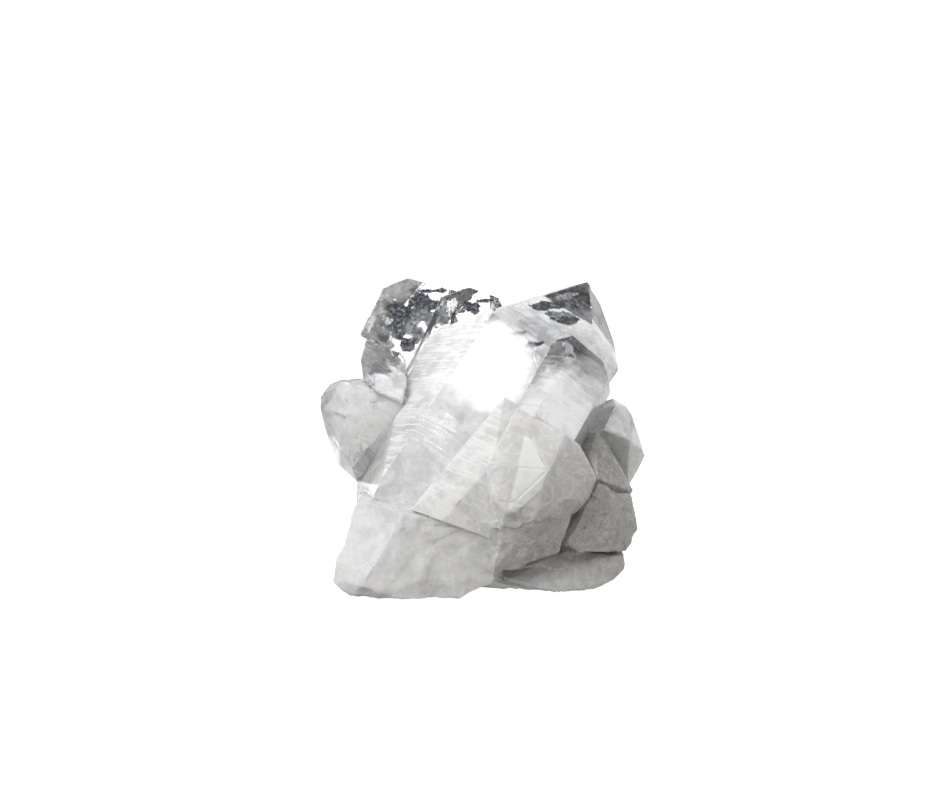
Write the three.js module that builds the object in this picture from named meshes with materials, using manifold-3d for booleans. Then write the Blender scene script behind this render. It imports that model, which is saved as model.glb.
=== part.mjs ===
// Quartz crystal cluster, about 90 mm wide: one natural piece, broken from its vein and resting on
// the break. Six-sided crystals lean up and to the right out of one milky root, and grow through
// each other, so all of them are joined into a single closed solid.
// Millimetres, +Z up, front towards -Y, origin at the middle of the underside.

import * as THREE from "three";
import { ConvexGeometry } from "three/addons/geometries/ConvexGeometry.js";
import { TessellateModifier } from "three/addons/modifiers/TessellateModifier.js";
import { mergeVertices } from "three/addons/utils/BufferGeometryUtils.js";
import Module from "manifold-3d";

// Quartz keeps its angles: six prism faces 60 degrees apart, and six end faces that each make
// 38.2 degrees with the long axis.
const PRISM_FACES = 6;
const END_FACE_ANGLE = THREE.MathUtils.degToRad(38.2);

// Crystals with whole ends. tip is the point of the crystal, heading and rise the direction that
// its long axis points in (degrees from +X round to +Y, and up), roll turns its faces about that
// axis. across is the distance from the axis to each of the six prism faces, drop how far each
// end face starts below the tip, and length how far the crystal runs back into the root. cuts are
// the odd faces that overgrowth and damage left, each by a point on it and the way that it faces.
const CRYSTALS = {
  main: {
    tip: [30, 41, 81.5], heading: 39.6, rise: 47.5, roll: 49, length: 100,
    across: [26.4, 20, 18, 14, 25, 26], drop: [0, -6.5, -6.5, 0, 0, 0.5],
    cuts: [
      { at: [30.5, 41, 81.5], facing: [0.85, -0.24, 0.48] },
      { at: [-27, -1.3, 41], facing: [-0.84, -0.2, 0.51] },
      { at: [-34.5, 5, 29], facing: [-0.95, 0.1, -0.3] },
      { at: [-14.8, 26.6, 67.9], facing: [-0.33, 0.14, 0.93] },
    ],
  },
  leftBack: {
    tip: [-9.8, 43.8, 84], heading: 61, rise: 45, roll: 28, length: 54,
    across: [0.7, 16, 12, 12, 13, 19.2], drop: [0, 0, 0, 0, -3, -13.5],
    cuts: [
      { at: [-20, 26, 83.6], facing: [0.26, 0.1, 0.95] },
      { at: [-33.4, 20, 65.7], facing: [-0.8, 0, -0.6] },
    ],
  },
  topStep: {
    tip: [2, 40.3, 81.7], heading: 61, rise: 45, roll: 28, length: 40,
    across: [0.5, 16, 9, 9, 9, 12], drop: [0, -4, 0, 0, 0, -5],
    cuts: [{ at: [-7, 27, 82.3], facing: [0.34, 0.1, 0.95] }],
  },
  rightFront: {
    tip: [25.1, 2, 69.7], heading: 48, rise: 47, roll: 58, length: 46,
    across: [8.5, 15.3, 14, 8, 3, 4.3], drop: [0, -11, -11, 0, 0, 0],
    cuts: [{ at: [25.1, 2, 69.7], facing: [0.65, -0.26, 0.72] }],
  },
  backLeft: {
    tip: [-33, 46, 33], heading: 125, rise: 30, roll: 15, length: 45,
    across: [9, 7, 8, 9, 8, 7], drop: [0, 0, 1, 0, 0, 2],
  },
  backMiddle: {
    tip: [-6, 50, 47], heading: 98, rise: 42, roll: 40, length: 45,
    across: [8, 9, 7, 8, 7, 8], drop: [0, 1, 0, 0, 0, 2],
  },
  backRight: {
    tip: [27, 49, 27], heading: 63, rise: 18, roll: 5, length: 45,
    across: [10, 9, 9, 10, 8, 9], drop: [0, 0, 2, 0, 1, 0],
  },
};

// Flat-sided pieces whose ends are broken or overgrown, each given by the corners that show.
const SHARDS = {
  milkyBlade: [
    [6, -12, 54.5], [10.5, -14, 51.5], [3, -25.5, 38], [2, -32, 18.5], [-11, -33, 23.5], [-19.5, -29, 26],
    [5, 0, 45], [5, -8, 15], [-15, -10, 25], [9, -12, 40],
  ],
  rightDark: [
    [31.5, -6, 44.2], [33.8, -4, 41.4], [37.5, -4, 35.2], [41.7, -4, 27.4], [31.4, -18, 32.9],
    [28.9, -12, 38.3], [36, 14, 34], [20, 5, 42], [24, -10, 20], [38, 8, 18],
  ],
  farRight: [
    [36.6, 10, 51.3], [40.4, 12, 48.8], [42.1, 12, 46.3], [45.8, 12, 34.9], [44.4, 12, 31.8],
    [42.4, 12, 29], [40.5, 10, 25.3], [37, 2, 50.4], [41, 0, 40.8], [33.6, -2, 43.9],
    [28, 26, 46], [38, 28, 38], [34, 26, 22], [20, 10, 30],
  ],
  farLeft: [
    [-39.8, 8, 56.7], [-42.6, 8, 55.5], [-45.4, 8, 51.9], [-45.3, 6, 49], [-43.9, 5, 43],
    [-40.3, 4, 33.3], [-34.9, 2, 28.8], [-33.6, 8, 57.2], [-37.8, -1, 47.1], [-31.4, 0, 51.2],
    [-38.2, 4, 56.9], [-36, -6, 34], [-42, 22, 50], [-36, 26, 55], [-28, 28, 50], [-36, 20, 28],
    [-20, 6, 52], [-22, 10, 24],
  ],
  smallLeft: [
    [-32.9, 10, 66.9], [-34, 8, 62.3], [-33.3, 6, 57], [-21, 4, 55.5], [-29, 0, 54.2],
    [-22, 2, 51], [-22, 26, 62], [-24, 14, 46], [-31, 20, 48],
  ],
};

// Broken masses of the root, by the corners of their rough form. Their faces are scooped by the
// shell-shaped fracture of quartz, depth millimetres deep, below the height given as brokenBelow;
// any face above that is a flat one.
const MASSES = {
  rootLeft: {
    depth: 1.5, brokenBelow: 40, corners: [
      [-34, -20, 29.5], [-21.5, -31.5, 25.9], [6, -32, 23], [-33.6, -33, 5], [-41.3, -26, 5.5],
      [-40.5, -24, 12], [-36, -22, 24], [-37, -30, 1.5], [-21, -33, 0.7], [-6, -32, 1.5], [5, -31.5, 6],
      [-38, 6, -2], [-34, 8, 26], [-2, 6, -2], [2, -8, 24], [8, -22, 7], [8, -20, 24],
    ],
  },
  frontRight: {
    depth: 2, brokenBelow: 27, corners: [
      [9.3, -19, 52.4], [1, -29, 38], [2, -32, 7.6], [17.4, -31.5, 37], [14, -34.5, 23.7],
      [5.4, -35, 26], [31, -24, 33.8], [25.5, -27, 25], [21.6, -24, 11.2], [15.5, -26.5, 9.2], [22.3, -24, 46],
      [26.3, -23.5, 42.6], [10, 0, 45], [10, 0, 10], [24, 0, 30],
    ],
  },
  rightShade: {
    depth: 2.4, brokenBelow: 40, corners: [
      [31.4, -19, 33], [42.4, -4, 27.4], [44.6, -5, 22.5], [44.8, -6, 16.5], [43.2, -8, 11.6],
      [41, -8, 9.5], [32.2, -15, 10.3], [25.2, -18, 11.3], [21.1, -20, 14.4], [36, 14, 28],
      [38, 14, 8], [18, 6, 30], [18, 0, 8],
    ],
  },
  flap: {
    depth: 1.2, brokenBelow: 40, corners: [
      [5, -25, 6], [13, -24, 3.6], [20.5, -21.5, 1.2], [32.2, -16, 1.4], [37.3, -12, 3.4], [39.9, -9, 6],
      [40.2, -8, 10.4], [21.3, -12, 12], [38, 18, 0], [36, 24, 10], [8, 26, -2], [-12, 10, -2],
      [-10, 10, 12],
    ],
  },
  back: {
    depth: 2, brokenBelow: 40, corners: [
      [-36, 0, -2], [-32, 26, -2], [-2, 33, -2], [28, 25, -2], [36, 8, 2], [-33, 16, 20], [-26, 28, 24],
      [2, 38, 24], [28, 32, 20], [-10, 0, 30],
    ],
  },
};
// A mass is divided until no edge is longer than MASS_EDGE, in at most MASS_ROUNDS rounds.
const MASS_EDGE = 4.2;
const MASS_ROUNDS = 24;
const SCOOP_SPACING = 8;

// How near two points, or a point and a plane, are to count as touching, and the least volume
// spanned by three unit normals whose planes still meet in one clear point.
const SAME_POINT = 1e-3;
const ON_PLANE = 1e-5;
const CLEAR_MEETING = 1e-6;

// Wider and taller than the cluster: the room above the surface that it stands on.
const ROOM = 200;

const wasm = await Module();
wasm.setup();

// Planes are [outward normal, distance]. The corners of the solid that they enclose are the points
// where three planes meet and that no other plane cuts away.
function enclosed(planes) {
  const corners = [];
  for (let i = 0; i < planes.length; i += 1) {
    for (let j = i + 1; j < planes.length; j += 1) {
      for (let k = j + 1; k < planes.length; k += 1) {
        const corner = meeting(planes[i], planes[j], planes[k]);
        const cutAway = corner === null
          || planes.some(([normal, distance]) => normal.dot(corner) > distance + ON_PLANE);
        if (!cutAway && !corners.some((other) => other.distanceTo(corner) < SAME_POINT)) {
          corners.push(corner);
        }
      }
    }
  }
  return new ConvexGeometry(corners);
}

function meeting([a, da], [b, db], [c, dc]) {
  const bc = new THREE.Vector3().crossVectors(b, c);
  const volume = a.dot(bc);
  if (Math.abs(volume) < CLEAR_MEETING) return null;
  const ca = new THREE.Vector3().crossVectors(c, a);
  const ab = new THREE.Vector3().crossVectors(a, b);
  return bc.multiplyScalar(da).addScaledVector(ca, db).addScaledVector(ab, dc).divideScalar(volume);
}

function crystal({ tip, heading, rise, roll, across, drop, length, cuts = [] }) {
  const point = new THREE.Vector3(...tip);
  const [head, lift, turn] = [heading, rise, roll].map(THREE.MathUtils.degToRad);
  const axis = new THREE.Vector3(
    Math.cos(lift) * Math.cos(head), Math.cos(lift) * Math.sin(head), Math.sin(lift),
  );
  const up = new THREE.Vector3(0, 0, 1).addScaledVector(axis, -axis.z).normalize();
  const side = new THREE.Vector3().crossVectors(axis, up);
  const planes = [[axis.clone().negate(), length - axis.dot(point)]];
  for (let face = 0; face < PRISM_FACES; face += 1) {
    const angle = turn + (face * Math.PI * 2) / PRISM_FACES;
    const outward = up.clone().multiplyScalar(Math.cos(angle)).addScaledVector(side, Math.sin(angle));
    planes.push([outward, outward.dot(point) + across[face]]);
    const end = axis.clone().multiplyScalar(Math.sin(END_FACE_ANGLE))
      .addScaledVector(outward, Math.cos(END_FACE_ANGLE));
    const start = point.clone().addScaledVector(axis, -drop[face]);
    planes.push([end, end.dot(start)]);
  }
  for (const { at, facing } of cuts) {
    const outward = new THREE.Vector3(...facing).normalize();
    planes.push([outward, outward.dot(new THREE.Vector3(...at))]);
  }
  return enclosed(planes);
}

const shard = (corners) => new ConvexGeometry(corners.map((corner) => new THREE.Vector3(...corner)));

// The same pseudo-random number every time for the same whole-numbered place.
function noise(x, y, z, salt) {
  const mixed = Math.sin(x * 127.1 + y * 311.7 + z * 74.7 + salt * 53.3) * 43758.5453;
  return mixed - Math.floor(mixed);
}

// The shell-shaped scoop nearest to a point, from 1 at its middle to 0 at its rim.
function scoop(point) {
  const cell = point.clone().divideScalar(SCOOP_SPACING);
  const home = cell.clone().floor();
  let nearest = Infinity;
  for (let dx = -1; dx <= 1; dx += 1) {
    for (let dy = -1; dy <= 1; dy += 1) {
      for (let dz = -1; dz <= 1; dz += 1) {
        const [x, y, z] = [home.x + dx, home.y + dy, home.z + dz];
        const middle = new THREE.Vector3(x + noise(x, y, z, 1), y + noise(x, y, z, 2), z + noise(x, y, z, 3));
        nearest = Math.min(nearest, middle.distanceTo(cell));
      }
    }
  }
  return Math.max(0, 1 - nearest * nearest);
}

// A broken mass: the hull of its corners, with shell-shaped scoops taken out of its faces.
function mass({ corners, depth, brokenBelow }) {
  const hull = shard(corners);
  const middle = corners.reduce((sum, corner) => sum.add(new THREE.Vector3(...corner)), new THREE.Vector3())
    .divideScalar(corners.length);
  const fine = new TessellateModifier(MASS_EDGE, MASS_ROUNDS).modify(hull);
  const places = fine.getAttribute("position");
  for (let i = 0; i < places.count; i += 1) {
    const place = new THREE.Vector3().fromBufferAttribute(places, i);
    const inward = middle.clone().sub(place).normalize();
    const broken = THREE.MathUtils.clamp((brokenBelow - place.z) / MASS_EDGE, 0, 1);
    place.addScaledVector(inward, depth * broken * scoop(place));
    places.setXYZ(i, place.x, place.y, place.z);
  }
  return fine;
}

function solid(geometry) {
  const bare = geometry.clone();
  bare.deleteAttribute("normal");
  bare.deleteAttribute("uv");
  const merged = mergeVertices(bare, SAME_POINT);
  return new wasm.Manifold(new wasm.Mesh({
    numProp: 3,
    vertProperties: new Float32Array(merged.getAttribute("position").array),
    triVerts: new Uint32Array(merged.index.array),
  }));
}

const pieces = [
  ...Object.values(CRYSTALS).map(crystal),
  ...Object.values(SHARDS).map(shard),
  ...Object.values(MASSES).map(mass),
];
let cluster = pieces.map(solid).reduce((whole, piece) => whole.add(piece));

// The underside is level where it rests.
const room = new THREE.BoxGeometry(ROOM, ROOM, ROOM).translate(0, 0, ROOM / 2);
cluster = cluster.intersect(solid(room));

const { vertProperties, triVerts } = cluster.getMesh();
const surface = new THREE.BufferGeometry();
surface.setAttribute("position", new THREE.BufferAttribute(vertProperties, 3));
surface.setIndex(new THREE.BufferAttribute(triVerts, 1));
surface.computeVertexNormals();
surface.computeBoundingBox();
const middle = surface.boundingBox.getCenter(new THREE.Vector3());
surface.translate(-middle.x, -middle.y, 0);

const quartz = new THREE.MeshStandardMaterial({
  color: 0xd9d8d4, roughness: 0.18, metalness: 0, flatShading: true,
});
const body = new THREE.Mesh(surface, quartz);
body.name = "quartz_cluster";

const root = new THREE.Group();
root.add(body);
export default root;
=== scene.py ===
"""A cluster of clear and milky rock crystal, about 90 mm wide, resting on its broken root."""
import math

import bmesh
import bpy
import numpy as np
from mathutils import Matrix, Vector


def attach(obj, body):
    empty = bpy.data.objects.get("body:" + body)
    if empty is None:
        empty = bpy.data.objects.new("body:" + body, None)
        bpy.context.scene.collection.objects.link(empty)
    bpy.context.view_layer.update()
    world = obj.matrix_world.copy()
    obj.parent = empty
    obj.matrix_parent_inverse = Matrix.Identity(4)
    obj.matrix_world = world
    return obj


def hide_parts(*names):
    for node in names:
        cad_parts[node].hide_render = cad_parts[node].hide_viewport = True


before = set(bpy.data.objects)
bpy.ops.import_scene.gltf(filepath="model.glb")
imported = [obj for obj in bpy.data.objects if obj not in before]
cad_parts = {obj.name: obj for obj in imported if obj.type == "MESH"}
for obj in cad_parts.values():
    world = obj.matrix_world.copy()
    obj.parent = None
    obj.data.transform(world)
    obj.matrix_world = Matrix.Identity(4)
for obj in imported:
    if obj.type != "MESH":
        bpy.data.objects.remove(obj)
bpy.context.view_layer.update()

# The quartz itself: crystals grown through each other out of one root, a single natural piece. Its
# crystal faces grew flat and its root broke in shell-shaped scoops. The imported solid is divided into
# small triangles, and each kind of face gets its own relief.
MM = 0.001

# The longest triangle side on broken stone and at the rim of a crystal face, and inside such a face.
FINEST_EDGE = 1.0 * MM
GROWN_EDGE = 3.0 * MM

# A flat face larger than this grew, and a smaller one is a facet of the break.
GROWN_FACE_AREA = 14 * MM ** 2
SAME_PLANE = math.cos(math.radians(0.8))

# Parts of the way to the neighbours' middle, there and back, for each round of softening.
SOFTENING_ROUNDS = 3
SOFTENING_STEPS = (0.6, -0.62)


def axis_of(heading, rise):
    """The unit vector that points heading degrees round from +X and rise degrees up."""
    head, lift = math.radians(heading), math.radians(rise)
    return np.array([math.cos(lift) * math.cos(head), math.cos(lift) * math.sin(head), math.sin(lift)])


MAIN_AXIS = axis_of(heading=39.6, rise=47.5)


def joined_triangles(node):
    """The node's points and triangles as arrays, with its loose triangles joined at shared corners."""
    mesh = node.data.copy()
    solid = bmesh.new()
    solid.from_mesh(mesh)
    bmesh.ops.remove_doubles(solid, verts=solid.verts, dist=1e-7)
    solid.to_mesh(mesh)
    solid.free()
    points = np.empty(len(mesh.vertices) * 3)
    mesh.vertices.foreach_get("co", points)
    corners = np.empty(len(mesh.loops), dtype=np.int64)
    mesh.loops.foreach_get("vertex_index", corners)
    bpy.data.meshes.remove(mesh)
    return points.reshape(-1, 3), corners.reshape(-1, 3)


def edges_of(corners):
    """Every edge once, and for each triangle the numbers of its three edges: corners 0-1, 1-2, 2-0."""
    ends = np.sort(np.stack([corners, np.roll(corners, -1, axis=1)], axis=2), axis=2).reshape(-1, 2)
    edges, where = np.unique(ends, axis=0, return_inverse=True)
    return edges, where.reshape(-1, 3)


def triangle_normals(points, corners):
    """Cross product of two sides: its length is twice the triangle's area."""
    a, b, c = points[corners[:, 0]], points[corners[:, 1]], points[corners[:, 2]]
    return np.cross(b - a, c - a)


def unit(vectors):
    """Each vector divided by its length."""
    return vectors / np.maximum(np.linalg.norm(vectors, axis=-1, keepdims=True), 1e-12)


def owners_of(edges, side):
    """The numbers of the two triangles at each edge."""
    owner = np.full((len(edges), 2), -1)
    triangle = np.repeat(np.arange(len(side)), 3)
    owner[side.ravel(), 0] = triangle
    owner[side.ravel()[::-1], 1] = triangle[::-1]
    return owner


def flat_faces(points, corners):
    """A face number for each triangle: neighbours in one plane take the lowest number among them."""
    edges, side = edges_of(corners)
    owner = owners_of(edges, side)
    normals = unit(triangle_normals(points, corners))
    level = np.einsum("ij,ij->i", normals[owner[:, 0]], normals[owner[:, 1]]) > SAME_PLANE
    first, second = owner[level].T
    label = np.arange(len(corners))
    while True:
        lowest = np.minimum(label[first], label[second])
        before = label.copy()
        np.minimum.at(label, first, lowest)
        np.minimum.at(label, second, lowest)
        label = label[label]
        if (label == before).all():
            return label


def divided(points, corners, face, longest):
    """Halves every edge longer than its limit, again and again: the limit inside a face is that
    face's own, and the finest one at its rim. A triangle with one, two or three halved edges is
    parted in two, three or four; a four-sided rest is cut along its short diagonal."""
    while True:
        edges, side = edges_of(corners)
        span = np.linalg.norm(points[edges[:, 0]] - points[edges[:, 1]], axis=1)
        first, second = face[owners_of(edges, side)].T
        rim = np.zeros(len(points), dtype=bool)
        rim[edges[first != second]] = True
        long = span > np.where(rim[edges].any(axis=1), FINEST_EDGE, longest[first])
        if not long.any():
            return points, corners, face
        halfway = np.full(len(edges), -1)
        halfway[long] = len(points) + np.arange(long.sum())
        points = np.vstack([points, points[edges[long]].mean(axis=1)])
        middle = halfway[side]
        count = (middle >= 0).sum(axis=1)
        turn = np.where(count == 1, (middle >= 0).argmax(axis=1), 0)
        turn = np.where(count == 2, ((middle < 0).argmax(axis=1) + 1) % 3, turn)
        order = (np.arange(3) + turn[:, None]) % 3
        a, b, c = np.take_along_axis(corners, order, axis=1).T
        m, n, o = np.take_along_axis(middle, order, axis=1).T
        from_a = np.linalg.norm(points[a] - points[n], axis=1)
        from_c = np.linalg.norm(points[m] - points[c], axis=1)
        short = from_a < from_c
        one, two, three = count == 1, count == 2, count == 3
        parts = [
            (count == 0, (a, b, c)),
            (one, (a, m, c)), (one, (m, b, c)),
            (two, (m, b, n)),
            (two & short, (a, m, n)), (two & short, (a, n, c)),
            (two & ~short, (a, m, c)), (two & ~short, (m, n, c)),
            (three, (a, m, o)), (three, (m, b, n)), (three, (o, n, c)), (three, (m, n, o)),
        ]
        corners = np.vstack([np.stack(part, axis=1)[chosen] for chosen, part in parts])
        face = np.concatenate([face[chosen] for chosen, part in parts])


def scatter(cells, salt):
    """The same number from 0 to 1 every time for the same whole-numbered place, as if by chance: what
    follows the decimal point in a large multiple of a sine. Its factors only have to be unalike."""
    x, y, z = cells[..., 0], cells[..., 1], cells[..., 2]
    mixed = np.sin(x * 127.1 + y * 311.7 + z * 74.7 + salt * 53.3) * 43758.5453
    return mixed - np.floor(mixed)


def clouds(places, size, salt):
    """Smooth noise from -1 to 1: numbers at the corners of cubes of that size, blended in between."""
    scaled = places / size
    home = np.floor(scaled)
    part = scaled - home
    part = part * part * (3 - 2 * part)
    total = np.zeros(len(places))
    for corner in np.ndindex(2, 2, 2):
        step = np.array(corner)
        weight = np.prod(np.where(step == 1, part, 1 - part), axis=1)
        total += weight * scatter(home + step, salt)
    return total * 2 - 1


def billows(places, size, salt, octaves=4):
    """Clouds on clouds, each half the size and half the height of the one before."""
    return sum(clouds(places, size / 2 ** k, salt + k) / 2 ** k for k in range(octaves))


def scoops(places, spacing, salt):
    """Distance from each place to the nearest of the scattered middles, in units of the spacing."""
    scaled = places / spacing
    home = np.floor(scaled)
    nearest = np.full(len(places), np.inf)
    for corner in np.ndindex(3, 3, 3):
        cell = home + np.array(corner) - 1
        middle = cell + np.stack([scatter(cell, salt + k) for k in range(3)], axis=1)
        nearest = np.minimum(nearest, np.linalg.norm(scaled - middle, axis=1))
    return nearest


def corner_normals(points, corners):
    """For each point, the area-weighted mean of the normals of its triangles."""
    normals = triangle_normals(points, corners)
    total = np.zeros_like(points)
    for k in range(3):
        for axis in range(3):
            total[:, axis] += np.bincount(corners[:, k], normals[:, axis], len(points))
    return unit(total)


def toward_neighbours(points, edges):
    """For each point, the way from it to the middle of the points that it shares an edge with."""
    degree = np.bincount(edges.ravel(), minlength=len(points))[:, None]
    total = np.zeros_like(points)
    for axis in range(3):
        total[:, axis] += np.bincount(edges[:, 0], points[edges[:, 1], axis], len(points))
        total[:, axis] += np.bincount(edges[:, 1], points[edges[:, 0], axis], len(points))
    return total / degree - points


def softened(points, edges, free, rounds):
    """Moves each free point part of the way to the middle of its neighbours, then a little more than
    that back, again and again, so that corners soften and the form doesn't shrink."""
    for turn in range(rounds):
        for step in SOFTENING_STEPS:
            points = np.where(free[:, None], points + step * toward_neighbours(points, edges), points)
    return points


rough_points, rough_corners = joined_triangles(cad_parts["quartz_cluster"])
face = flat_faces(rough_points, rough_corners)
rough_normals = triangle_normals(rough_points, rough_corners)
face_area = np.bincount(face, np.linalg.norm(rough_normals, axis=1) / 2, len(face))
face_normal = np.zeros((len(face), 3))
for k in range(3):
    face_normal[:, k] = np.bincount(face, rough_normals[:, k], len(face))
face_normal = unit(face_normal)

# Only broken stone, the lined left face of the main crystal and the faces that carry a thin plate
# need small triangles. A face is known by the way it looks out, and the plate by its corners, as
# (x, z) in mm, in front of PLATE_BACK.
LINED_FACE = np.array([-0.68, -0.315, 0.664])
MIRROR_FACE = np.array([0.11, -0.89, 0.44])
SAME_WAY = 0.99
PLATE = [(10.8, 45), (13.6, 45.3), (17.6, 36), (15.9, 31.8), (8.4, 25.3), (6.3, 26.1)]
PLATE_BACK = -20 * MM
plate_left, plate_low = np.min(PLATE, axis=0) * MM
plate_right, plate_high = np.max(PLATE, axis=0) * MM
middles = rough_points[rough_corners].mean(axis=1)
by_plate = (middles[:, 1] < PLATE_BACK) & (middles[:, 0] > plate_left) & (middles[:, 0] < plate_right)
by_plate &= (middles[:, 2] > plate_low) & (middles[:, 2] < plate_high)
longest = np.where(face_area > GROWN_FACE_AREA, GROWN_EDGE, FINEST_EDGE)
longest[face_normal @ LINED_FACE > SAME_WAY] = FINEST_EDGE
longest[face[by_plate]] = FINEST_EDGE
points, corners, face = divided(rough_points, rough_corners, face, longest)

# Which points lie inside one grown face, which on broken stone only, and which on an edge of either.
pairs = np.unique(np.stack([corners.ravel(), np.repeat(face, 3)], axis=1), axis=0)
faces_here = np.bincount(pairs[:, 0], minlength=len(points))
grown_here = np.bincount(pairs[:, 0], face_area[pairs[:, 1]] > GROWN_FACE_AREA, len(points))
inside_face = (faces_here == 1) & (grown_here == 1)
all_broken = grown_here == 0
edge = ~inside_face & ~all_broken

# The level underside stays level: it is what the piece rests on. The rest of the broken root
# loses the straight edges of its facets, then gets shells, ripples and a fine hackle.
LEVEL = 0.02 * MM
SHELL_SPACING, SMALL_SHELL_SPACING = 5.5 * MM, 2.4 * MM
RIPPLE_SPACING, RIPPLE_PATCH, RIPPLE_RINGS = 11 * MM, 7 * MM, 55
HACKLE_SIZE = 1.8 * MM
SHELL_RIM, SHELL_DEPTH, RIPPLE_HEIGHT, HACKLE_HEIGHT = 0.35 * MM, 0.6 * MM, 0.04 * MM, 0.12 * MM
underside = points[:, 2] < LEVEL
edges, side = edges_of(corners)
points = softened(points, edges, all_broken & ~underside, SOFTENING_ROUNDS)
outward = corner_normals(points, corners)
shells = np.maximum(0, 1 - scoops(points, SHELL_SPACING, 11) ** 2)
shells += 0.5 * np.maximum(0, 1 - scoops(points, SMALL_SHELL_SPACING, 17) ** 2)
ripple = np.sin(scoops(points, RIPPLE_SPACING, 31) * RIPPLE_RINGS)
ripple *= np.clip(clouds(points, RIPPLE_PATCH, 5) * 2, 0, 1)
hackle = billows(points, HACKLE_SIZE, 21, 2)
broken_relief = SHELL_RIM - SHELL_DEPTH * shells + RIPPLE_HEIGHT * ripple + HACKLE_HEIGHT * hackle

# The front right mass lost a thin layer below a ragged ledge.
LEDGE_HEIGHT, LEDGE_SWING, LEDGE_NOTCH = 24.5 * MM, 4.5 * MM, 7 * MM
LEDGE_BACK, LEDGE_LEFT = -24 * MM, 3 * MM
LAYER_THICKNESS = 0.5 * MM
ledge = LEDGE_HEIGHT + LEDGE_SWING * billows(points, LEDGE_NOTCH, 81, 3)
layer_lost = (points[:, 2] < ledge) & (points[:, 1] < LEDGE_BACK) & (points[:, 0] > LEDGE_LEFT)
broken_relief = broken_relief - np.where(layer_lost, LAYER_THICKNESS, 0)

# Crystal faces are slightly uneven, the main crystal's front face least, which is nearly a mirror.
# Growth lines, raised only on its left face, run across the long axis.
SWELL_SIZE, SWELL_HEIGHT = 16 * MM, 0.03 * MM
MIRROR_SWELL = 0.12
LINE_SPACING, LINE_HEIGHT, LINE_PATCH = 1.5 * MM, 0.035 * MM, 11 * MM
flat_normal = np.zeros_like(points)
flat_normal[pairs[:, 0]] = face_normal[pairs[:, 1]]
mirror = flat_normal @ MIRROR_FACE > SAME_WAY
grown_relief = SWELL_HEIGHT * billows(points, SWELL_SIZE, 41, 2) * np.where(mirror, MIRROR_SWELL, 1)
along = (points @ MAIN_AXIS)[:, None] * np.array([1, 0, 0])
ridges = billows(along + 0.05 * points, LINE_SPACING, 51, 2)
ridges *= np.clip(0.4 + 1.2 * clouds(points, LINE_PATCH, 61), 0, 1)
left_face = flat_normal @ LINED_FACE > SAME_WAY
grown_relief = np.where(left_face, grown_relief + LINE_HEIGHT * ridges, grown_relief)

# The thin plate left on the front of the right mass, with a sloping rim.
PLATE_THICKNESS, PLATE_RIM = 0.3 * MM, 0.5 * MM
plate = np.full(len(points), np.inf)
for (x0, z0), (x1, z1) in zip(PLATE, PLATE[1:] + PLATE[:1]):
    span = math.hypot(x1 - x0, z1 - z0) * MM
    inward = (z1 - z0) * (points[:, 0] - x0 * MM) - (x1 - x0) * (points[:, 2] - z0 * MM)
    plate = np.minimum(plate, inward * MM / span)
plate = np.clip(plate / PLATE_RIM, 0, 1) * (points[:, 1] < PLATE_BACK)
grown_relief = grown_relief + PLATE_THICKNESS * plate
broken_relief = broken_relief * (1 - plate) + PLATE_THICKNESS * plate

# Sharp crystal edges are painted white, partly as wear and partly as a painted highlight along
# them: the further a point stands out from its neighbours, as a part of its distance from them,
# the more. Here and there a chip is gone.
WEAR_AND_HIGHLIGHT_BEGINS, WEAR_AND_HIGHLIGHT_RANGE, WEAR_DEPTH = 0.14, 0.24, 0.03 * MM
CHIP_SIZE, CHIP_DEPTH, CHIP_RARITY = 3.2 * MM, 0.8 * MM, 0.25
spans = np.repeat(np.linalg.norm(points[edges[:, 0]] - points[edges[:, 1]], axis=1), 2)
edges_here = np.bincount(edges.ravel(), minlength=len(points))
mean_span = np.bincount(edges.ravel(), spans, len(points)) / edges_here
standing_out = -np.einsum("ij,ij->i", toward_neighbours(points, edges), outward) / mean_span
wear_and_highlight = np.where(edge, np.clip((standing_out - WEAR_AND_HIGHLIGHT_BEGINS) / WEAR_AND_HIGHLIGHT_RANGE, 0, 1), 0)
chips = np.clip(billows(points, CHIP_SIZE, 71, 3) - CHIP_RARITY, 0, 1) * CHIP_DEPTH
edge_wear = np.where(grown_here > 0, -WEAR_DEPTH - chips, broken_relief)
relief = np.where(all_broken, broken_relief, np.where(inside_face, grown_relief, edge_wear))
relief[underside] = 0
points = points + np.where(inside_face[:, None], flat_normal, outward) * relief[:, None]
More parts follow.
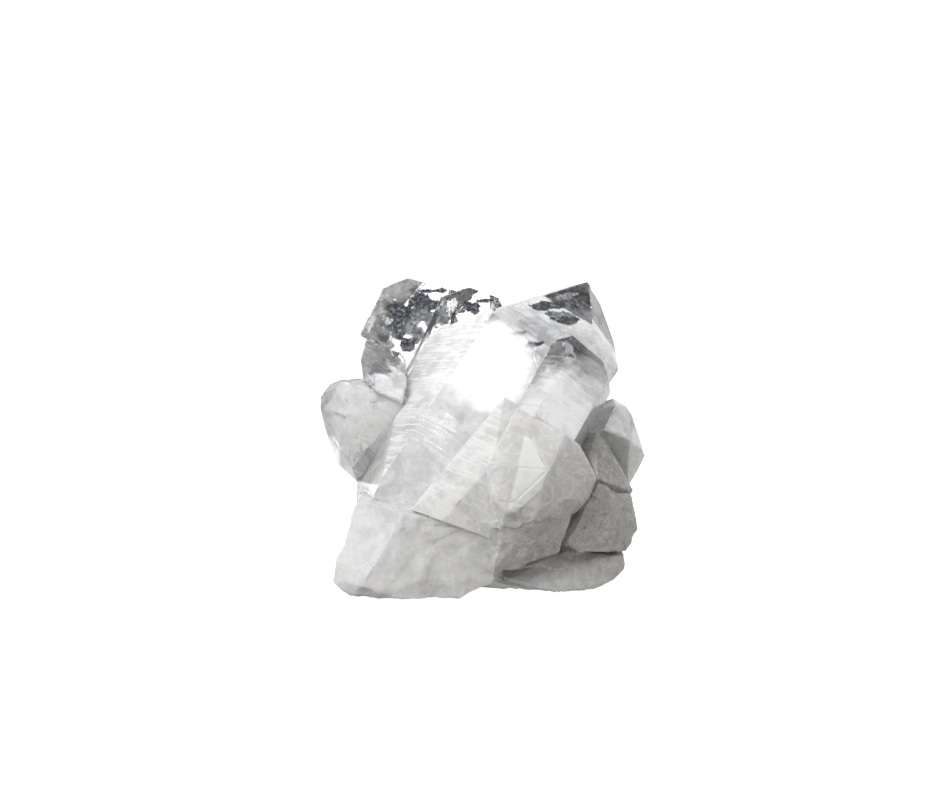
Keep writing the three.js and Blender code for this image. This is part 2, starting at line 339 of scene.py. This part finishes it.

# How clear the stone is, from 0 for milky to 1 for water-clear, and how brown, at a few places in
# it: clay stain, partly painted shade on the right masses and painted shade under the front right
# mass. In between it is the mean of them all, weighed by nearness.
STONE = [
    # left back crystal and the step beside it: place in mm, clear, warm
    ((-25, 25, 74), 1.0, 0.1), ((-17, 28, 76), 1.0, 0.0), ((-30, 20, 65), 0.85, 0.1),
    ((-29, 24, 73), 0.7, 0.1), ((-26, 29, 79), 0.6, 0.1), ((-2, 27, 77), 1.0, 0.2),
    # tips of the main crystal and of the right front one
    ((16, 12, 77), 1.0, 0.0), ((28, 25, 80), 0.9, 0.0), ((33, 13, 66), 0.6, 0.0),
    ((22, -10, 67), 1.0, 0.0), ((29, -15, 58), 0.5, 0.0), ((22, -24, 50), 0.1, 0.0),
    # faces of the main crystal, downwards
    ((-9, 5, 67), 0.3, 0.0), ((-18, -4, 53), 0.2, 0.0), ((2, -7, 66), 0.35, 0.0),
    ((-8, -18, 48), 0.2, 0.0), ((-18, -24, 36), 0.25, 0.05),
    # the crystals on the left, then the milky one at the far right
    ((-31, -1, 62), 0.8, 0.0), ((-41, -4, 50), 0.5, 0.45), ((-37, -10, 40), 0.4, 0.3),
    ((38, -7, 44), 0.3, 0.15),
    # the blade, the root and the masses on the right. The brown at (32, -17, 38) and (34, -20, 20) is
    # partly clay stain and partly painted shade; at (9, -38, 8.5) and (18, -33, 11) it is painted shade
    # under the front right mass.
    ((0, -30, 38), 0.15, 0.05), ((-28, -36, 18), 0.1, 0.0), ((-5, -38, 10), 0.08, 0.15),
    ((12, -33, 40), 0.1, 0.35), ((22, -34, 24), 0.06, 0.5), ((32, -17, 38), 0.15, 1.0),
    ((34, -20, 20), 0.1, 0.8), ((16, -26, 4), 0.15, 0.1), ((9, -38, 8.5), 0.1, 0.8),
    ((18, -33, 11), 0.1, 1.0),
    # the back
    ((0, 30, 10), 0.05, 0.3), ((0, 38, 40), 0.3, 0.1), ((-30, 35, 28), 0.3, 0.1),
    ((28, 38, 25), 0.3, 0.1),
]
spots = np.array([spot for spot, clear, warm in STONE]) * MM
nearness = 1 / (np.linalg.norm(points[:, None] - spots[None], axis=2) / MM + 1) ** 4
nearness /= nearness.sum(axis=1, keepdims=True)
clearness = nearness @ np.array([clear for spot, clear, warm in STONE])
clearness = clearness * (1 - 0.8 * plate)
stain_and_shade = nearness @ np.array([warm for spot, clear, warm in STONE])

# Where growth lines show: all over the left face of the main crystal, and faintly on every face that
# runs with its long axis. In one place low down on its front face they are a painted highlight: white
# glare strips.
GLARE_PLACE = np.array([-14.5, -18.5, 43.5]) * MM
GLARE_REACH = 5.5 * MM
SQUARE_TO_AXIS = 0.12
FAINT_LINES, MIRROR_LINES = 0.4, 0.06
prism_face = np.abs(flat_normal @ MAIN_AXIS) < SQUARE_TO_AXIS
lined = np.where(inside_face & prism_face, np.where(mirror, MIRROR_LINES, FAINT_LINES), 0)
lined = np.where(left_face, 1, lined)
from_glare_place = np.linalg.norm(points - GLARE_PLACE, axis=1) / GLARE_REACH
lined = np.maximum(lined, np.exp(-from_glare_place ** 2))

mesh = bpy.data.meshes.new("quartz")
mesh.from_pydata(points, [], corners)
SHARP_FROM = math.radians(24)
marks = {
    "broken": all_broken,
    "clear": clearness,
    "warm": stain_and_shade,
    "lined": lined,
    "wear_and_highlight": wear_and_highlight,
    "plate": plate,
}
for name, values in marks.items():
    layer = mesh.attributes.new(name, "FLOAT", "POINT")
    layer.data.foreach_set("value", values.astype(np.float32))
mesh.polygons.foreach_set("use_smooth", np.ones(len(corners), dtype=bool))
mesh.set_sharp_from_angle(angle=SHARP_FROM)
quartz = bpy.data.objects.new("quartz", mesh)
bpy.context.scene.collection.objects.link(quartz)
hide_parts("quartz_cluster")
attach(quartz, "root")


def links(tree, *joints):
    """Joins sockets in pairs: from, to."""
    for here, there in joints:
        tree.links.new(here, there)


def new_node(tree, kind, settings=None, **values):
    """A shader node of that kind, with its settings and the values of its sockets."""
    made = tree.nodes.new(kind)
    for key, value in (settings or {}).items():
        setattr(made, key, value)
    for key, value in values.items():
        made.inputs[key.replace("_", " ")].default_value = value
    return made


def between(tree, amount, low, high, start=0.0, stop=1.0):
    """A socket that runs from start to stop while amount runs from low to high."""
    ramp = new_node(tree, "ShaderNodeMapRange", From_Min=low, From_Max=high, To_Min=start, To_Max=stop)
    links(tree, (amount, ramp.inputs["Value"]))
    return ramp.outputs["Result"]


def joined(tree, kind, first, second):
    """Two amounts put together by one sum, such as ADD, MULTIPLY or SUBTRACT."""
    made = new_node(tree, "ShaderNodeMath", {"operation": kind})
    for socket, amount in zip(made.inputs, (first, second)):
        if isinstance(amount, (int, float)):
            socket.default_value = amount
        else:
            links(tree, (amount, socket))
    return made.outputs["Value"]


def blend(tree, amount, first, second):
    """One colour to another: each is an RGB triple or a socket."""
    made = new_node(tree, "ShaderNodeMix", {"data_type": "RGBA"})
    links(tree, (amount, made.inputs[0]))
    for socket, colour in ((made.inputs[6], first), (made.inputs[7], second)):
        if isinstance(colour, tuple):
            socket.default_value = (*colour, 1)
        else:
            links(tree, (colour, socket))
    return made.outputs[2]


def cloud(tree, scale, detail, roughness, distortion=0.0):
    """A cloud pattern that is fixed to the piece; a larger scale makes it finer."""
    place = new_node(tree, "ShaderNodeTexCoord").outputs["Object"]
    made = new_node(
        tree, "ShaderNodeTexNoise", Scale=scale, Detail=detail, Roughness=roughness, Distortion=distortion
    )
    links(tree, (place, made.inputs["Vector"]))
    return made.outputs["Fac"]


# The stone is see-through at the tips and turns milky towards the root, where light scatters in it.
QUARTZ_IOR = 1.544
MILK_SCATTER = 0.5
SCATTER_COLOUR = (1.0, 0.95, 0.9)
SCATTER_REACH = 3 * MM
rock = bpy.data.materials.new("rock_crystal")
rock.use_nodes = True
stone = rock.node_tree
glass = stone.nodes["Principled BSDF"]
glass.inputs["IOR"].default_value = QUARTZ_IOR
glass.inputs["Subsurface Weight"].default_value = MILK_SCATTER
glass.inputs["Subsurface Radius"].default_value = SCATTER_COLOUR
glass.inputs["Subsurface Scale"].default_value = SCATTER_REACH
own = {
    name: new_node(stone, "ShaderNodeAttribute", {"attribute_name": name}).outputs["Fac"] for name in marks
}
wisps = cloud(stone, 130.0, 6.0, 0.62, 0.7)
specks = cloud(stone, 420.0, 4.0, 0.7)
grain = cloud(stone, 900.0, 3.0, 0.6)

# Growth lines: a cloud that changes fast along the long axis and slowly across it. Its peaks are
# painted white: on the left face partly frost and partly painted glare, low on the front face painted
# glare.
ACROSS_LINES = 0.09
stone_place = new_node(stone, "ShaderNodeTexCoord").outputs["Object"]
height = new_node(stone, "ShaderNodeVectorMath", {"operation": "DOT_PRODUCT"})
height.inputs[1].default_value = MAIN_AXIS
sideways = new_node(stone, "ShaderNodeSeparateXYZ")
line_place = new_node(stone, "ShaderNodeCombineXYZ")
line = new_node(stone, "ShaderNodeTexNoise", Scale=1100.0, Detail=4.0, Roughness=0.65)
links(
    stone,
    (stone_place, height.inputs[0]),
    (stone_place, sideways.inputs[0]),
    (height.outputs["Value"], line_place.inputs[0]),
    (joined(stone, "MULTIPLY", sideways.outputs["X"], ACROSS_LINES), line_place.inputs[1]),
    (joined(stone, "MULTIPLY", sideways.outputs["Y"], ACROSS_LINES), line_place.inputs[2]),
    (line_place.outputs["Vector"], line.inputs["Vector"]),
)
lines = joined(stone, "MULTIPLY", line.outputs["Fac"], own["lined"])
# Painted glare: the white on the line peaks stands partly for light mirrored in the faces.
frost_and_glare = joined(stone, "MULTIPLY", between(stone, line.outputs["Fac"], 0.5, 0.62), own["lined"])

# Veins: thin white threads where a cloud passes through its middle value.
THREAD_WIDTH = 0.0004
thread = joined(stone, "SUBTRACT", cloud(stone, 170.0, 7.0, 0.62, 0.4), 0.5)
vein = between(stone, joined(stone, "MULTIPLY", thread, thread), 0.0, THREAD_WIDTH, 1.0, 0.0)

# How much light passes: less in wisps of milk, more between the specks, less on frosted lines and
# the painted glare, and least on edges, where the white is wear and painted highlight.
MILK_IN_WISPS, FROST_AND_GLARE_BLOCKS = 0.3, 0.5
milk = joined(stone, "MULTIPLY", between(stone, wisps, 0.35, 0.68), MILK_IN_WISPS)
clear = joined(stone, "SUBTRACT", own["clear"], milk)
clear = joined(stone, "ADD", clear, between(stone, specks, 0.3, 0.7, -0.06, 0.14))
clear = between(stone, clear, 0.0, 0.8)
clear = joined(stone, "SUBTRACT", clear, joined(stone, "MULTIPLY", frost_and_glare, FROST_AND_GLARE_BLOCKS))
# Edges with wear and a painted highlight let less light through, so their white shows.
scuffs_and_highlight = joined(stone, "MULTIPLY", own["wear_and_highlight"], between(stone, specks, 0.4, 0.6, 0.1, 0.7))
clear = between(stone, joined(stone, "SUBTRACT", clear, scuffs_and_highlight), 0.0, 1.0)
links(stone, (clear, glass.inputs["Transmission Weight"]))

# Its colour: milky, or brown: clay stain, on the right masses partly painted shade, and under the
# front right mass painted shade. Then paler on veins, on edges as wear and painted highlight, on the
# thin plate, and on frosted lines and painted glare.
MILK_SHADE, MILK_LIGHT = (0.76, 0.76, 0.75), (0.86, 0.86, 0.855)
CLAY_AND_SHADE_DARK, CLAY_AND_SHADE_LIGHT = (0.33, 0.31, 0.265), (0.53, 0.515, 0.465)
PALE, CLEAR_TINT = (0.92, 0.92, 0.915), (0.95, 0.95, 0.955)
milky = blend(stone, between(stone, wisps, 0.35, 0.7), MILK_SHADE, MILK_LIGHT)
# Clay stain, also used as painted shade on the right masses and under the front right mass.
stain_and_shade_colour = blend(stone, between(stone, specks, 0.35, 0.65), CLAY_AND_SHADE_DARK, CLAY_AND_SHADE_LIGHT)
body = blend(stone, own["warm"], milky, stain_and_shade_colour)
pale = joined(stone, "MULTIPLY", vein, 0.5)
# Veins and the thin plate are pale in the stone itself; edges are pale as wear and painted highlight, and
# lines as frost and painted glare.
for whitening, strength in ((own["wear_and_highlight"], 0.45), (own["plate"], 0.6), (frost_and_glare, 0.8)):
    pale = joined(stone, "MAXIMUM", pale, joined(stone, "MULTIPLY", whitening, strength))
body = blend(stone, pale, body, PALE)
links(stone, (blend(stone, clear, body, CLEAR_TINT), glass.inputs["Base Color"]))

# Broken stone is matt and gritty. Crystal faces are polished and only a little uneven.
GRIT_HEIGHT = 0.4 * MM
matt = joined(stone, "MULTIPLY", own["broken"], between(stone, specks, 0.3, 0.7, 0.22, 0.5))
polish = between(stone, wisps, 0.4, 0.75, 0.004, 0.03)
links(stone, (joined(stone, "ADD", matt, polish), glass.inputs["Roughness"]))
bump = new_node(stone, "ShaderNodeBump", Strength=0.6, Distance=GRIT_HEIGHT)
grit = joined(stone, "MULTIPLY", grain, between(stone, own["broken"], 0, 1, 0.015, 0.8))
pits = joined(stone, "MULTIPLY", specks, joined(stone, "MULTIPLY", own["broken"], 1.2))
uneven = joined(stone, "ADD", joined(stone, "ADD", grit, pits), joined(stone, "MULTIPLY", lines, 0.35))
links(stone, (uneven, bump.inputs["Height"]), (bump.outputs["Normal"], glass.inputs["Normal"]))

# Light that crosses the stone is dimmed evenly.
DIMMING_COLOUR = (0.82, 0.825, 0.83, 1)
DIMMING_PER_METRE = 50.0
depth = new_node(stone, "ShaderNodeVolumeAbsorption", Color=DIMMING_COLOUR, Density=DIMMING_PER_METRE)
links(stone, (depth.outputs["Volume"], stone.nodes["Material Output"].inputs["Volume"]))
mesh.materials.append(rock)


# Dark sheets inside the clear crystals: painted dark reflections, standing for the dark
# surroundings mirrored inside the tips, each broken up into countless small dark faces with painted
# glints among them. A sheet lies a few millimetres under a crystal face and runs with it.
FRONT_OF_LEFT = (0.107, -0.773, 0.624)
TIP_FACE = (0.41, -0.43, 0.80)
FRONT_OF_RIGHT = (0.37, -0.86, 0.36)
TOP_OF_RIGHT = (0.65, -0.26, 0.72)
FRONT_OF_MAIN = (0.108, -0.889, 0.443)

# In mm, as all of crumbled_sheet is: the side of a cell, the rim of empty cells round the patches,
# and the size and height of a sheet's swells and wrinkles. A cell is kept from this strength up.
SHEET_CELL, SHEET_RIM = 0.16, 2
SWELL_ACROSS, SWELL_RISE = 5, 0.5
WRINKLE_ACROSS, WRINKLE_RISE = 0.9, 0.35
CRUMB_ACROSS = 2.2
KEPT_FROM = 0.1


def largest_of(fields):
    """The largest of several arrays, place by place."""
    return np.max(np.stack(list(fields)), axis=0)


def crumbled_sheet(name, middle, facing, patches, salt, crumble, finish):
    """A sheet through middle, square to facing: a grid of u to the right and v up, in mm. A cell is
    kept where the nearest patch (u, v, half width, half height), 1 at its middle and 0 at its rim,
    plus crumble times noise is high enough. The sheet leaves its plane by smooth noise."""
    normal = unit(np.array(facing))
    right = unit(np.cross((0, 0, 1), normal))
    up = np.cross(normal, right)
    reach = max(max(abs(u) + w, abs(v) + h) for u, v, w, h in patches) + SHEET_RIM
    steps = np.arange(-reach, reach, SHEET_CELL)
    u, v = np.meshgrid(steps, steps)
    rows, columns = u.shape
    u, v = u.ravel(), v.ravel()
    flat = np.stack([u, v, np.full(u.size, salt * 10.0)], axis=1)
    rise = SWELL_RISE * billows(flat, SWELL_ACROSS, salt, 3)
    rise += WRINKLE_RISE * billows(flat, WRINKLE_ACROSS, salt + 9, 2)
    place = np.array(middle) + u[:, None] * right + v[:, None] * up + rise[:, None] * normal
    nearest = largest_of(1 - np.hypot((u - pu) / w, (v - pv) / h) for pu, pv, w, h in patches)
    strength = nearest + crumble * billows(flat, CRUMB_ACROSS, salt + 20, 5)
    index = np.arange(u.size).reshape(rows, columns)
    corners = (index[:-1, :-1], index[:-1, 1:], index[1:, 1:], index[1:, :-1])
    quads = np.stack(corners, axis=2).reshape(-1, 4)
    quads = quads[(strength[quads] > KEPT_FROM).all(axis=1)]
    used, quads = np.unique(quads, return_inverse=True)
    mesh = bpy.data.meshes.new(name)
    mesh.from_pydata(place[used] * MM, [], quads.reshape(-1, 4))
    mesh.materials.append(finish)
    sheet = bpy.data.objects.new(name, mesh)
    bpy.context.scene.collection.objects.link(sheet)
    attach(sheet, "root")


# Painted dark reflection: black and blue-black faces, with pale specks as painted glints.
REFLECTED_BLACK, REFLECTED_BLUE, PAINTED_GLINT = (0.02, 0.021, 0.026), (0.05, 0.065, 0.11), (0.75, 0.77, 0.8)
painted_dark_reflection = bpy.data.materials.new("painted_dark_reflection")
painted_dark_reflection.use_nodes = True
reflection_tree = painted_dark_reflection.node_tree
dark = reflection_tree.nodes["Principled BSDF"]
glint_specks = cloud(reflection_tree, 900.0, 4.0, 0.75)
tint = blend(reflection_tree, between(reflection_tree, cloud(reflection_tree, 160.0, 3.0, 0.6), 0.45, 0.6), REFLECTED_BLACK, REFLECTED_BLUE)
reflection_colour = blend(reflection_tree, between(reflection_tree, glint_specks, 0.5, 0.72), tint, PAINTED_GLINT)
links(reflection_tree, (reflection_colour, dark.inputs["Base Color"]))
dark.inputs["Roughness"].default_value = 0.3

REFLECTION_CRUMBLE = 0.36
PAINTED_DARK_REFLECTIONS = [
    # name, middle in mm, crystal face, salt, patches as (u, v, half width, half height)
    ("dark_reflection_left", (-23.8, 24.5, 67.4), FRONT_OF_LEFT, 3, [
        (0.2, 6.4, 3.6, 3.8), (6.2, 10.2, 3.6, 3.0), (-0.6, -0.3, 2.4, 3.6),
        (1.8, -4.6, 2.6, 3.0), (9.6, 8.4, 2.4, 2.4),
    ]),
    ("dark_reflection_left_edge", (-23.7, 23.1, 67.9), FRONT_OF_LEFT, 4, [(10.4, 13.2, 5.0, 0.8)]),
    ("dark_reflection_step", (-5.2, 28.9, 75.0), FRONT_OF_LEFT, 5, [(2.4, -0.8, 3.2, 2.0), (5.0, 0.6, 2.6, 1.0)]),
    ("dark_reflection_tip", (21.3, 21.1, 76.0), TIP_FACE, 6, [
        (-5.5, -1.9, 10.0, 2.2), (3.5, -2.2, 6.0, 2.4), (-4.0, -8.5, 6.5, 2.1), (5.0, -6.0, 2.4, 3.2),
    ]),
    ("dark_reflection_right_front", (26.0, -16.9, 57.0), FRONT_OF_RIGHT, 7, [
        (-1.8, 8.2, 1.7, 1.0), (1.0, 2.6, 3.8, 2.6), (-2.4, 5.6, 1.8, 2.0),
    ]),
    ("dark_reflection_right_top", (27.2, -5.7, 64.8), TOP_OF_RIGHT, 8, [
        (-3.5, -7.2, 2.4, 2.2), (-1.4, -2.0, 1.0, 1.8),
    ]),
    ("dark_reflection_under_front", (2.1, -6.0, 63.4), FRONT_OF_MAIN, 9, [
        (12.4, 3.8, 2.6, 0.9), (7.4, 7.0, 3.0, 0.6),
    ]),
]
for name, middle, facing, salt, patches in PAINTED_DARK_REFLECTIONS:
    crumbled_sheet(name, middle, facing, patches, salt, REFLECTION_CRUMBLE, painted_dark_reflection)

# Veils: clouds of tiny bubbles in thin sheets inside the clear crystals, white where light falls on
# them. They are made as the dark sheets are, with looser edges. The low one on the front face of the
# main crystal is a painted highlight: white strips standing for glare.
VEIL_SHADE, VEIL_LIGHT = (0.22, 0.23, 0.25), (0.86, 0.87, 0.88)
white_veil = bpy.data.materials.new("white_veil")
white_veil.use_nodes = True
veil = white_veil.node_tree
white = veil.nodes["Principled BSDF"]
foam = blend(veil, between(veil, cloud(veil, 700.0, 5.0, 0.7), 0.42, 0.6), VEIL_SHADE, VEIL_LIGHT)
links(veil, (foam, white.inputs["Base Color"]))
white.inputs["Roughness"].default_value = 0.4

VEIL_CRUMBLE = 0.6
WHITE_VEILS = [
    # as for the dark sheets
    ("veil_left", (-23.9, 26.0, 66.8), FRONT_OF_LEFT, 13, [
        (7.5, 4.0, 6.5, 6.0), (4.0, 0.0, 5.0, 5.0), (-3.6, -5.4, 1.8, 2.2), (10.6, 8.2, 3.4, 2.4),
    ]),
    ("veil_step", (-5.2, 31.0, 73.6), FRONT_OF_LEFT, 17, [(1.5, -1.8, 4.2, 1.6)]),
    ("veil_tip", (21.0, 22.5, 75.2), TIP_FACE, 14, [
        (-6.0, -6.0, 7.0, 2.0), (2.0, 1.0, 5.0, 1.0), (6.0, 1.8, 3.6, 1.1),
    ]),
    ("veil_right", (25.8, -15.4, 56.6), FRONT_OF_RIGHT, 15, [
        (0.0, -3.0, 4.6, 3.4), (2.4, 3.2, 1.8, 2.0),
    ]),
    # painted highlight: white strips for the glare low on the main crystal's front face
    ("painted_glare_front_low", (-14.0, -17.5, 44.4), FRONT_OF_MAIN, 16, [
        (-4.0, 1.7, 1.1, 0.35), (-3.0, 0.6, 1.8, 0.5), (0.5, -1.0, 2.2, 0.5), (3.4, -2.4, 1.6, 0.4),
        (-7.5, -4.6, 1.2, 1.2),
    ]),
]
for name, middle, facing, salt, patches in WHITE_VEILS:
    crumbled_sheet(name, middle, facing, patches, salt, VEIL_CRUMBLE, white_veil)

# Camera: a little above the crystals, with a long lens at arm's length.
CAMERA_AIM = Vector((-3.66, -7.49, 53.7)) * MM
CAMERA_DISTANCE = 0.9
CAMERA_HEIGHT_ANGLE = math.radians(7)
SENSOR_WIDTH, LENS_LENGTH = 36, 124.4
FARTHEST_SEEN = 1000
lens = bpy.data.cameras.new("camera")
lens.sensor_width = SENSOR_WIDTH
lens.lens = LENS_LENGTH
lens.clip_end = FARTHEST_SEEN
camera = bpy.data.objects.new("camera", lens)
bpy.context.scene.collection.objects.link(camera)
back = Vector((0, -math.cos(CAMERA_HEIGHT_ANGLE), math.sin(CAMERA_HEIGHT_ANGLE)))
camera.location = CAMERA_AIM + back * CAMERA_DISTANCE
camera.rotation_euler = (-back).to_track_quat("-Z", "Y").to_euler()
bpy.context.scene.camera = camera
bpy.context.scene.view_settings.view_transform = "Standard"

# The floor: white paper that reaches to the horizon. It glows evenly, so no shadow darkens it, and
# its glow doesn't light the stone from below.
FLOOR_SIZE = 400
PAPER_COLOUR, PAPER_GLOW = (0.5, 0.5, 0.5, 1), (1, 1, 1, 1)
bpy.ops.mesh.primitive_plane_add(size=FLOOR_SIZE)
floor = bpy.context.object
floor.name = "floor"
paper = bpy.data.materials.new("white_paper")
paper.use_nodes = True
paper_look = paper.node_tree.nodes["Principled BSDF"]
paper_look.inputs["Base Color"].default_value = PAPER_COLOUR
paper_look.inputs["Roughness"].default_value = 0.9
paper_look.inputs["Emission Color"].default_value = PAPER_GLOW
paper_look.inputs["Emission Strength"].default_value = 1.0
floor.data.materials.append(paper)
floor.visible_diffuse = False

# Lamps. A small one is mirrored as the glare on the front face, and a large one at the left rear
# shines through the tips. The key, the top and the rear lamp light the milky stone. The right one is
# only mirrored in faces and seen through them.


def softbox(name, aim, toward, distance, size, brightness, shape="RECTANGLE", seen_in_gloss=True):
    """A lamp at that distance from aim, facing it. Its power is its brightness, which is how bright it
    looks from in front, times pi times its area."""
    direction = Vector(toward).normalized()
    lamp = bpy.data.lights.new(name, "AREA")
    lamp.shape = shape
    lamp.size, lamp.size_y = size
    area = size[0] * size[1] * (math.pi / 4 if shape in ("DISK", "ELLIPSE") else 1)
    lamp.energy = brightness * math.pi * area
    box = bpy.data.objects.new(name, lamp)
    bpy.context.scene.collection.objects.link(box)
    box.location = Vector(aim) + direction * distance
    box.rotation_euler = (-direction).to_track_quat("-Z", "Y").to_euler()
    box.visible_camera = False
    box.visible_glossy = seen_in_gloss
    return box


MIDDLE = (0, 0, 0.04)
softbox(
    "glare_box", aim=(0.0015, -0.0105, 0.0598), toward=(0.21, -0.67, 0.72), distance=0.8,
    size=(0.044, 0.044), brightness=13, shape="DISK",
)
softbox(
    "left_rear_box", aim=(-0.014, -0.002, 0.057), toward=(-0.53, 0.755, 0.39), distance=1.2,
    size=(0.9, 0.8), brightness=1.25,
)
softbox(
    "key_box", aim=MIDDLE, toward=(-0.5, -0.62, 0.7), distance=1.1, size=(0.8, 0.8), brightness=3.7,
    seen_in_gloss=False,
)
softbox("top_box", aim=MIDDLE, toward=(-0.25, 0, 1), distance=1.2, size=(0.6, 0.6), brightness=1.4)
right_box = softbox(
    "right_box", aim=(0.025, -0.018, 0.056), toward=(0.68, -0.52, 0.51), distance=1.0,
    size=(0.35, 0.35), brightness=3.5,
)
right_box.visible_diffuse = False
softbox(
    "rear_box", aim=MIDDLE, toward=(0.35, 0.9, 0.5), distance=1.4, size=(0.9, 0.9), brightness=2.2,
    seen_in_gloss=False,
)

# The room: a white band from the horizon up, grey walls above it, and little light from below. A
# height is the upward part of the direction looked in.
BELOW, WHITE, WALLS = (0.10, 0.095, 0.085, 1), (1, 1, 1, 1), (0.42, 0.42, 0.43, 1)
BAND_BOTTOM, BAND_TOP, WALL_HEIGHT = 0.01, 0.12, 0.3
room = bpy.data.worlds.new("room")
bpy.context.scene.world = room
room.use_nodes = True
sky = room.node_tree
look = new_node(sky, "ShaderNodeTexCoord")
upward = new_node(sky, "ShaderNodeSeparateXYZ")
shades = new_node(sky, "ShaderNodeValToRGB")
band = shades.color_ramp.elements
band[0].position, band[0].color = 0.0, BELOW
band[1].position, band[1].color = WALL_HEIGHT, WALLS
for band_edge in (BAND_BOTTOM, BAND_TOP):
    band.new(band_edge).color = WHITE
links(
    sky,
    (look.outputs["Generated"], upward.inputs[0]),
    (upward.outputs["Z"], shades.inputs[0]),
    (shades.outputs[0], sky.nodes["Background"].inputs[0]),
)
